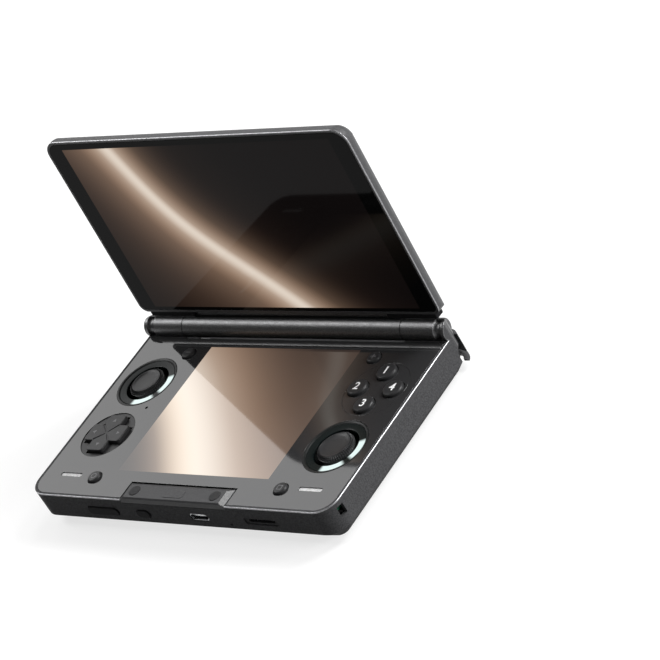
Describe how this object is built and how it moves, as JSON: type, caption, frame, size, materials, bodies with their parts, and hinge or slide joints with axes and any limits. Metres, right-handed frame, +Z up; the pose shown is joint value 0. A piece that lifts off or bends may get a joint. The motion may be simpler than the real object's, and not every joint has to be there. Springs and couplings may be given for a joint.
{
  "type": "clamshell handheld game console",
  "caption": "Clamshell handheld console: base with sticks, cross pad, buttons and display, hinged lid with a larger display.",
  "frame": {"origin": "centre of the flat underside that the console rests on", "axes": "+X to the player's right, +Y back to the hinge, +Z up"},
  "size_m": [0.1514, 0.099, 0.1066],
  "materials": {
    "shell_plastic": "fine satin texture",
    "frame_paint": "satin painted plastic with a fine grain",
    "lid_paint": "fine-grained satin paint",
    "deck_glass": "polished black glass, printed behind",
    "display": "lit panel with soft bands of brown and cream",
    "bar_plastic": "satin moulded plastic",
    "pad_rubber": "matt rubber",
    "button_plastic": "satin moulded plastic",
    "stick_rubber": "knurled soft rubber",
    "stick_plastic": "moulded plastic",
    "diffuser": "milky diffuser, lit",
    "steel": "brushed",
    "black_coat": "black anodised",
    "chassis_metal": "bead blasted",
    "copper": "drawn copper",
    "board": "solder mask",
    "cell_wrap": "foil wrap",
    "ribbon": "polyimide film"
  },
  "bodies": {
    "base": {"bottom_shell": "shell_plastic", "base_frame": "frame_paint", "deck_glass": "deck_glass", "inner_chassis": "black_coat", "lower_display": "display", "bumper_bar": "bar_plastic", "bumper_pads": "pad_rubber", "mainboard": "board", "battery": "cell_wrap", "fan_housing": "stick_plastic", "heat_pipe": "copper", "heat_fins": "chassis_metal", "left_speaker": "stick_plastic", "right_speaker": "stick_plastic", "left_stick_base": "stick_plastic", "right_stick_base": "stick_plastic", "left_light_ring": "diffuser", "right_light_ring": "diffuser", "dpad_plate": "deck_glass", "dpad_membrane": "pad_rubber", "button_plate": "deck_glass", "button_membrane": "pad_rubber", "trigger_axles": "steel", "shoulder_axles": "steel", "usb_port": "steel", "card_reader": "steel", "shell_screws": "steel", "hinge_pins": "steel"},
    "lid": {"lid_back": "lid_paint", "lid_glass": "deck_glass", "upper_display": "display", "lid_bracket": "chassis_metal", "hinge_barrel": "frame_paint", "hinge_cover": "lid_paint", "display_flex": "ribbon"},
    "fan": {"fan_rotor": "stick_plastic"},
    "dpad_rocker": {"dpad_pivot": "steel"},
    "dpad": {"dpad_cross": "button_plastic"},
    "left_yoke": {"left_stick_yoke": "steel"},
    "left_shaft": {"left_stick_shaft": "stick_plastic"},
    "left_cap": {"left_stick_cap": "stick_rubber"},
    "left_shoulder": {"left_shoulder_button": "bar_plastic"},
    "left_trigger_body": {"left_trigger": "bar_plastic"},
    "right_yoke": {"right_stick_yoke": "steel"},
    "right_shaft": {"right_stick_shaft": "stick_plastic"},
    "right_cap": {"right_stick_cap": "stick_rubber"},
    "right_shoulder": {"right_shoulder_button": "bar_plastic"},
    "right_trigger_body": {"right_trigger": "bar_plastic"},
    "key_north": {"button_north": "button_plastic"},
    "key_east": {"button_east": "button_plastic"},
    "key_south": {"button_south": "button_plastic"},
    "key_west": {"button_west": "button_plastic"},
    "small_key_front_left": {"small_button_front_left": "button_plastic"},
    "small_key_front_right": {"small_button_front_right": "button_plastic"},
    "small_key_rear_left": {"small_button_rear_left": "button_plastic"},
    "small_key_rear_right": {"small_button_rear_right": "button_plastic"},
    "rocker": {"volume_rocker": "bar_plastic"},
    "power": {"power_button": "bar_plastic"}
  },
  "joints": [
    {"name": "lid_hinge", "type": "hinge", "parent": "base", "child": "lid", "pos_m": [0, 0.0421, 0.0178], "axis": [-1, 0, 0], "range_deg": [-92.5, 57.5]},
    {"name": "fan_spin", "type": "hinge", "parent": "base", "child": "fan", "pos_m": [-0.014, 0.0162, 0.0046], "axis": [0, 0, 1], "continuous": true},
    {"name": "left_stick_tilt_y", "type": "hinge", "parent": "base", "child": "left_yoke", "pos_m": [-0.0574, 0.0134, 0.0061], "axis": [1, 0, 0], "range_deg": [-8, 8], "stiffness_Nm_per_rad": 0.06},
    {"name": "left_stick_tilt_x", "type": "hinge", "parent": "left_yoke", "child": "left_shaft", "pos_m": [-0.0574, 0.0134, 0.0061], "axis": [0, 1, 0], "range_deg": [-8, 8], "stiffness_Nm_per_rad": 0.06},
    {"name": "left_stick_click", "type": "slide", "parent": "left_shaft", "child": "left_cap", "axis": [0, 0, 1], "range_m": [-0.0004, 0], "stiffness_N_per_m": 5000},
    {"name": "right_stick_tilt_y", "type": "hinge", "parent": "base", "child": "right_yoke", "pos_m": [0.0574, -0.0152, 0.0061], "axis": [1, 0, 0], "range_deg": [-8, 8], "stiffness_Nm_per_rad": 0.06},
    {"name": "right_stick_tilt_x", "type": "hinge", "parent": "right_yoke", "child": "right_shaft", "pos_m": [0.0574, -0.0152, 0.0061], "axis": [0, 1, 0], "range_deg": [-8, 8], "stiffness_Nm_per_rad": 0.06},
    {"name": "right_stick_click", "type": "slide", "parent": "right_shaft", "child": "right_cap", "axis": [0, 0, 1], "range_m": [-0.0004, 0], "stiffness_N_per_m": 5000},
    {"name": "dpad_rock_y", "type": "hinge", "parent": "base", "child": "dpad_rocker", "pos_m": [-0.0567, -0.0149, 0.0146], "axis": [1, 0, 0], "range_deg": [-2.5, 2.5], "stiffness_Nm_per_rad": 0.1},
    {"name": "dpad_rock_x", "type": "hinge", "parent": "dpad_rocker", "child": "dpad", "pos_m": [-0.0567, -0.0149, 0.0146], "axis": [0, 1, 0], "range_deg": [-2.5, 2.5], "stiffness_Nm_per_rad": 0.1},
    {"name": "button_north_press", "type": "slide", "parent": "base", "child": "key_north", "axis": [0, 0, -1], "range_m": [0, 0.0006], "stiffness_N_per_m": 1500},
    {"name": "button_east_press", "type": "slide", "parent": "base", "child": "key_east", "axis": [0, 0, -1], "range_m": [0, 0.0006], "stiffness_N_per_m": 1500},
    {"name": "button_south_press", "type": "slide", "parent": "base", "child": "key_south", "axis": [0, 0, -1], "range_m": [0, 0.0006], "stiffness_N_per_m": 1500},
    {"name": "button_west_press", "type": "slide", "parent": "base", "child": "key_west", "axis": [0, 0, -1], "range_m": [0, 0.0006], "stiffness_N_per_m": 1500},
    {"name": "small_button_front_left_press", "type": "slide", "parent": "base", "child": "small_key_front_left", "axis": [0, 0, -1], "range_m": [0, 0.0004], "stiffness_N_per_m": 2500},
    {"name": "small_button_front_right_press", "type": "slide", "parent": "base", "child": "small_key_front_right", "axis": [0, 0, -1], "range_m": [0, 0.0004], "stiffness_N_per_m": 2500},
    {"name": "small_button_rear_left_press", "type": "slide", "parent": "base", "child": "small_key_rear_left", "axis": [0, 0, -1], "range_m": [0, 0.0004], "stiffness_N_per_m": 2500},
    {"name": "small_button_rear_right_press", "type": "slide", "parent": "base", "child": "small_key_rear_right", "axis": [0, 0, -1], "range_m": [0, 0.0004], "stiffness_N_per_m": 2500},
    {"name": "left_shoulder_press", "type": "hinge", "parent": "base", "child": "left_shoulder", "pos_m": [-0.057, 0.0432, 0.0116], "axis": [0, 0, 1], "range_deg": [0, 2], "stiffness_Nm_per_rad": 0.6},
    {"name": "left_trigger_pull", "type": "hinge", "parent": "base", "child": "left_trigger_body", "pos_m": [-0.062, 0.0415, 0.006], "axis": [-1, 0, 0], "range_deg": [0, 10], "stiffness_Nm_per_rad": 0.05},
    {"name": "right_shoulder_press", "type": "hinge", "parent": "base", "child": "right_shoulder", "pos_m": [0.057, 0.0432, 0.0116], "axis": [0, 0, -1], "range_deg": [0, 2], "stiffness_Nm_per_rad": 0.6},
    {"name": "right_trigger_pull", "type": "hinge", "parent": "base", "child": "right_trigger_body", "pos_m": [0.062, 0.0415, 0.006], "axis": [-1, 0, 0], "range_deg": [0, 10], "stiffness_Nm_per_rad": 0.05},
    {"name": "volume_rock", "type": "hinge", "parent": "base", "child": "rocker", "pos_m": [-0.0386, -0.0444, 0.0091], "axis": [0, 0, 1], "range_deg": [-1.5, 1.5], "stiffness_Nm_per_rad": 0.4},
    {"name": "power_press", "type": "slide", "parent": "base", "child": "power", "axis": [0, 1, 0], "range_m": [0, 0.0004], "stiffness_N_per_m": 3000}
  ]
}
